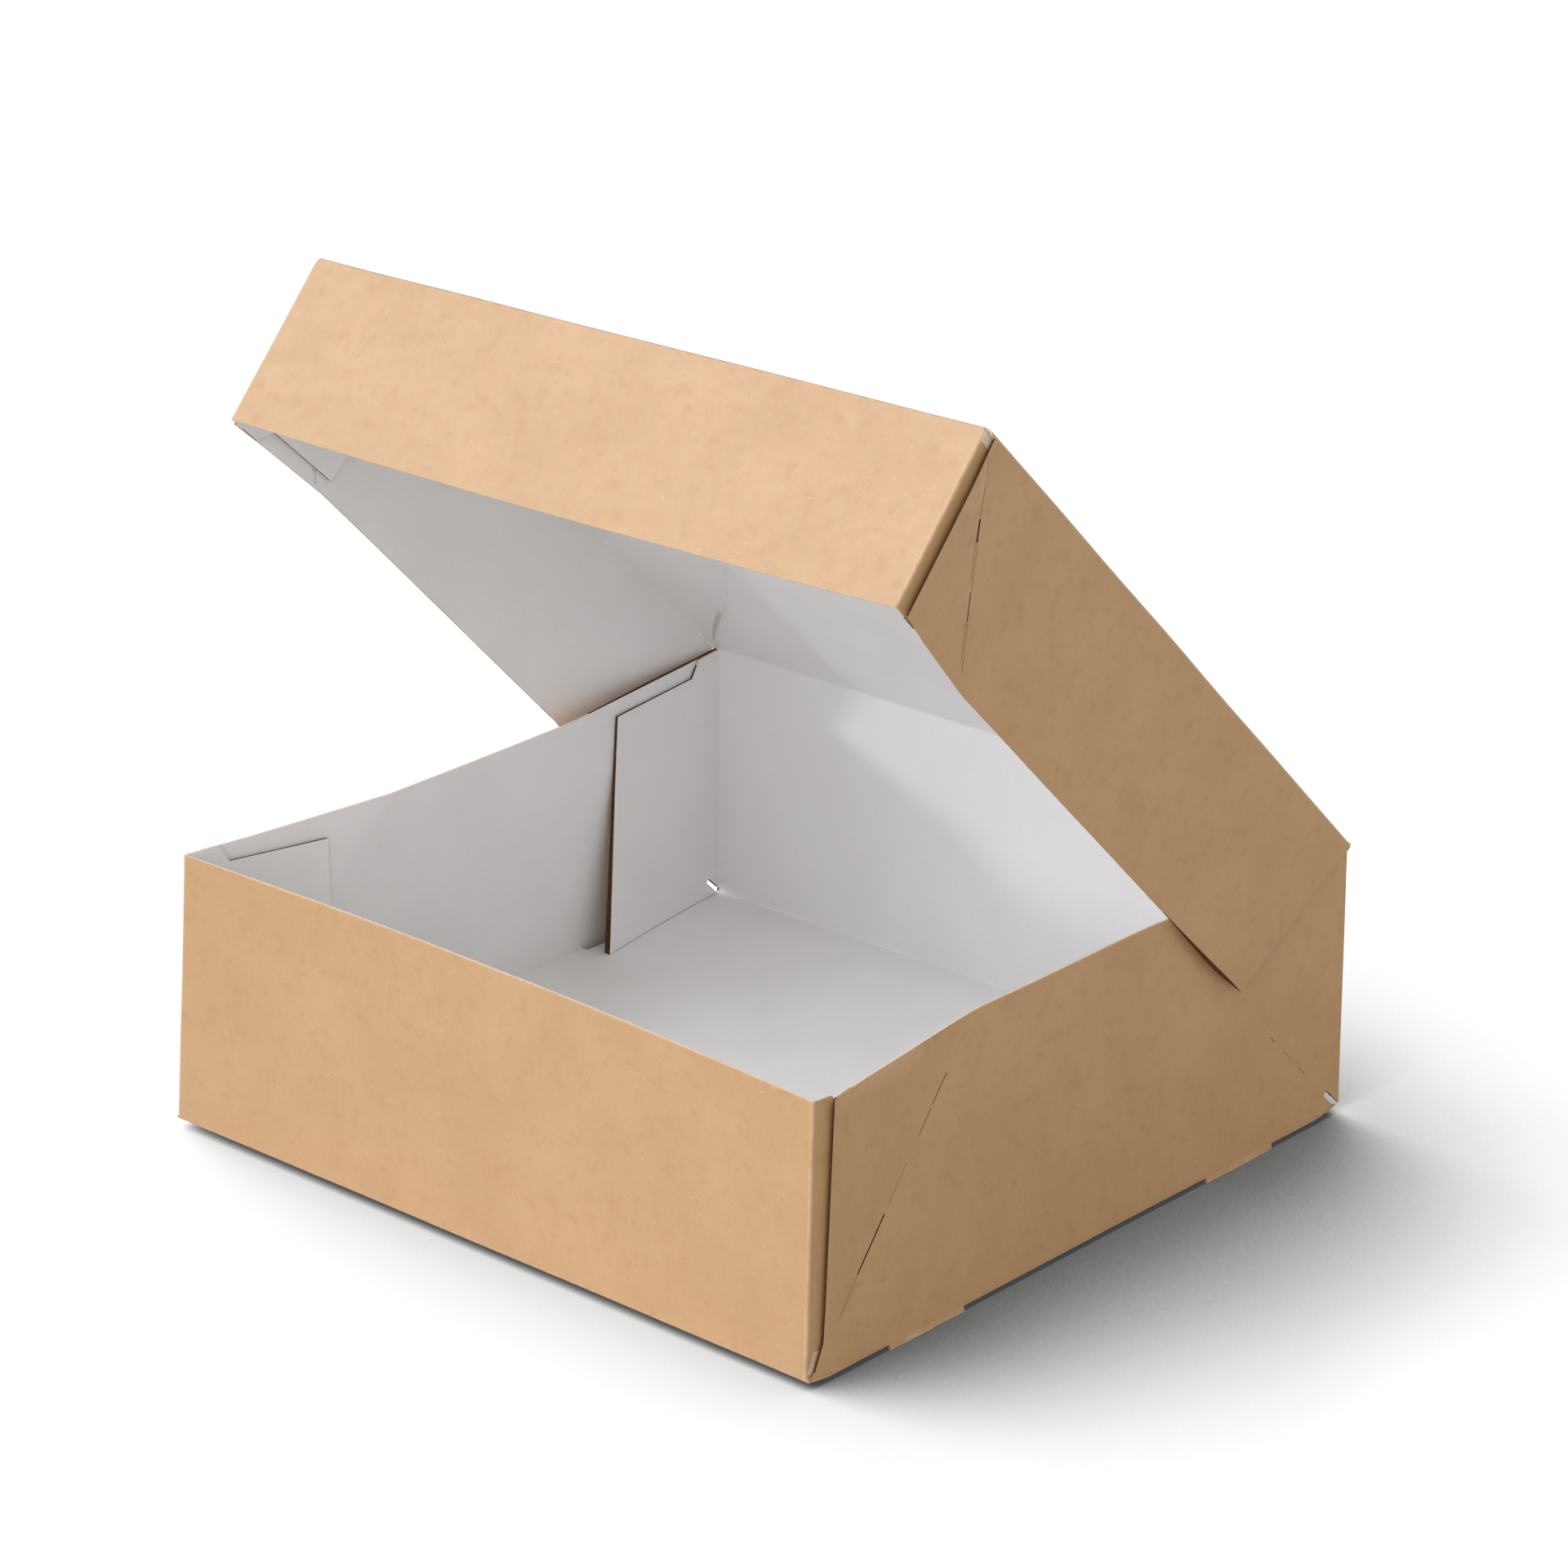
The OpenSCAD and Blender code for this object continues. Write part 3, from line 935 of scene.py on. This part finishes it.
materials = [
    kraft_material(), lining_material(),
    edge_material("cut_edge", colour(222, 202, 176), colour(236, 220, 198)),
    # painted shade: a dark colour for cut edges and slot sides that lie in the shade of a gap
    edge_material("painted_shade_edge", colour(76, 48, 26), colour(100, 68, 42)),
    edge_material("brown_edge", colour(182, 139, 97), colour(196, 155, 113)),
    edge_material("pale_web", colour(210, 186, 156), colour(226, 206, 182)),
    edge_material("browner_lining", colour(214, 200, 193), colour(228, 218, 213))]

bm = bmesh.new()
for side in (-1, 1):
    tray_side(bm, side)
for front in (True, False):
    end_wall(bm, front)
    end_fold(bm, front)
tray_floor(bm)
tray_board = board_object("tray_board", bm, materials, rims=True)
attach(tray_board, "tray")
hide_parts("tray")

bm = bmesh.new()
for side in (-1, 1):
    lid_side(bm, side)
lid_front(bm)
lid_front_fold(bm)
lid_top(bm)
lid_wrinkle(bm)
lid_board = board_object("lid_board", bm, materials)
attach(lid_board, "lid")
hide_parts("lid")

bm = bmesh.new()
crease_start, crease_end = hinge_crease(bm)
crease_board = board_object("hinge_crease", bm, materials)
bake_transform(crease_board)
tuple(crease_start)
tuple(crease_end)


# Floor, light and camera

FLOOR_HALF = 8.0
# the painted shadow that ambient occlusion puts on the floor beside the box: the way it seems to
# come from, its reach in metres, and the open shares at which the shade is full and at which it
# ends
SHADE_FROM = (-0.66, -0.24, 0.7)
SHADE_REACH = 0.12
SHADE_FULL = 0.33
SHADE_END = 0.84
# how white the camera sees the open floor by itself, and how much the lamps' light adds to that
FLOOR_GLOW = 0.89
FLOOR_LIT = 0.15


def floor_material():
    """A white floor with a painted shadow for the camera, and a pale grey one for the light that
    bounces off it.
    """
    material, tree, shader = nodes_of("floor")
    path = tree.nodes.new("ShaderNodeLightPath")
    slant = tree.nodes.new("ShaderNodeCombineXYZ")
    for name, value in zip("XYZ", SHADE_FROM):
        slant.inputs[name].default_value = value
    # painted shadow: the floor the camera sees is darker where the box blocks the way towards
    # SHADE_FROM
    near = tree.nodes.new("ShaderNodeAmbientOcclusion")
    near.inputs["Distance"].default_value = SHADE_REACH
    near.samples = 16
    tree.links.new(slant.outputs["Vector"], near.inputs["Normal"])
    open_share = ramp(tree, near.outputs["AO"], SHADE_FULL, SHADE_END)
    seen = mix(tree, open_share, (0.06, 0.06, 0.06, 1), (1, 1, 1, 1))
    lit = mix(tree, 1 - FLOOR_LIT, seen, (0, 0, 0, 1))
    shown = mix(tree, path.outputs["Is Camera Ray"], colour(208, 204, 198), lit)
    tree.links.new(shown, shader.inputs["Base Color"])
    tree.links.new(seen, shader.inputs["Emission Color"])
    glow = ramp(tree, path.outputs["Is Camera Ray"], 0, 1, 0, FLOOR_GLOW)
    tree.links.new(glow, shader.inputs["Emission Strength"])
    shader.inputs["Roughness"].default_value = 1.0
    shader.inputs["Specular IOR Level"].default_value = 0.0
    return material


def add_floor():
    mesh = bpy.data.meshes.new("floor")
    r = FLOOR_HALF
    mesh.from_pydata([(-r, -r, 0), (r, -r, 0), (r, r, 0), (-r, r, 0)], [], [(0, 1, 2, 3)])
    mesh.materials.append(floor_material())
    floor = bpy.data.objects.new("floor", mesh)
    bpy.context.scene.collection.objects.link(floor)


# the lamps are a little cool, and what the floor and the room send back is a little warm
LAMP_TINT = (0.97, 1.0, 1.09)
ROOM_TINT = (1.03, 1.0, 0.94, 1)
ROOM_LIGHT = 0.47
# each lamp's name, the way its light goes, its strength and its size in degrees
LAMPS = (
    ("key", (0.56, 1.0, -0.22), 0.48, 5), ("front", (0.0, 1.0, -0.35), 0.62, 60),
    ("left", (0.6, 0.44, -0.66), 1.73, 50), ("fill", (-0.75, 0.6, -0.4), 0.59, 70))


def add_world(strength):
    """A soft room, seen by the camera as plain white."""
    world = bpy.data.worlds.new("studio")
    bpy.context.scene.world = world
    world.use_nodes = True
    tree = world.node_tree
    tree.nodes.clear()
    output = tree.nodes.new("ShaderNodeOutputWorld")
    background = tree.nodes.new("ShaderNodeBackground")
    path = tree.nodes.new("ShaderNodeLightPath")
    level = tree.nodes.new("ShaderNodeMapRange")
    level.inputs["To Min"].default_value = strength
    level.inputs["To Max"].default_value = 1.0
    tree.links.new(path.outputs["Is Camera Ray"], level.inputs["Value"])
    tree.links.new(level.outputs["Result"], background.inputs["Strength"])
    tint = mix(tree, path.outputs["Is Camera Ray"], ROOM_TINT, (1, 1, 1, 1))
    tree.links.new(tint, background.inputs["Color"])
    tree.links.new(background.outputs["Background"], output.inputs["Surface"])


def add_sun(name, towards, strength, size_deg):
    """A lamp whose light goes towards a direction, softer the larger its size.

    It is cool, unless its light comes from the right.
    """
    lamp = bpy.data.lights.new(name, "SUN")
    lamp.energy = strength
    lamp.angle = math.radians(size_deg)
    lamp.color = LAMP_TINT if towards[0] >= 0 else (1, 1, 1)
    obj = bpy.data.objects.new(name, lamp)
    obj.rotation_euler = Vector(towards).to_track_quat("-Z", "Y").to_euler()
    bpy.context.scene.collection.objects.link(obj)


# the camera that the photo was taken with, worked out from the box's corners
LENS = 130.303
CAMERA_AT = (0.8444, -0.96074, 0.5963)
CAMERA_TURN_DEG = (68.4041, -0.4136, 41.2242)


def add_camera():
    data = bpy.data.cameras.new("camera")
    data.sensor_width = 36
    data.lens = LENS
    data.clip_end = 50
    camera = bpy.data.objects.new("camera", data)
    camera.location = CAMERA_AT
    camera.rotation_euler = Euler([math.radians(a) for a in CAMERA_TURN_DEG])
    bpy.context.scene.collection.objects.link(camera)
    bpy.context.scene.camera = camera


add_floor()
add_world(ROOM_LIGHT)
for lamp in LAMPS:
    add_sun(*lamp)
add_camera()
bpy.context.scene.view_settings.view_transform = "Standard"
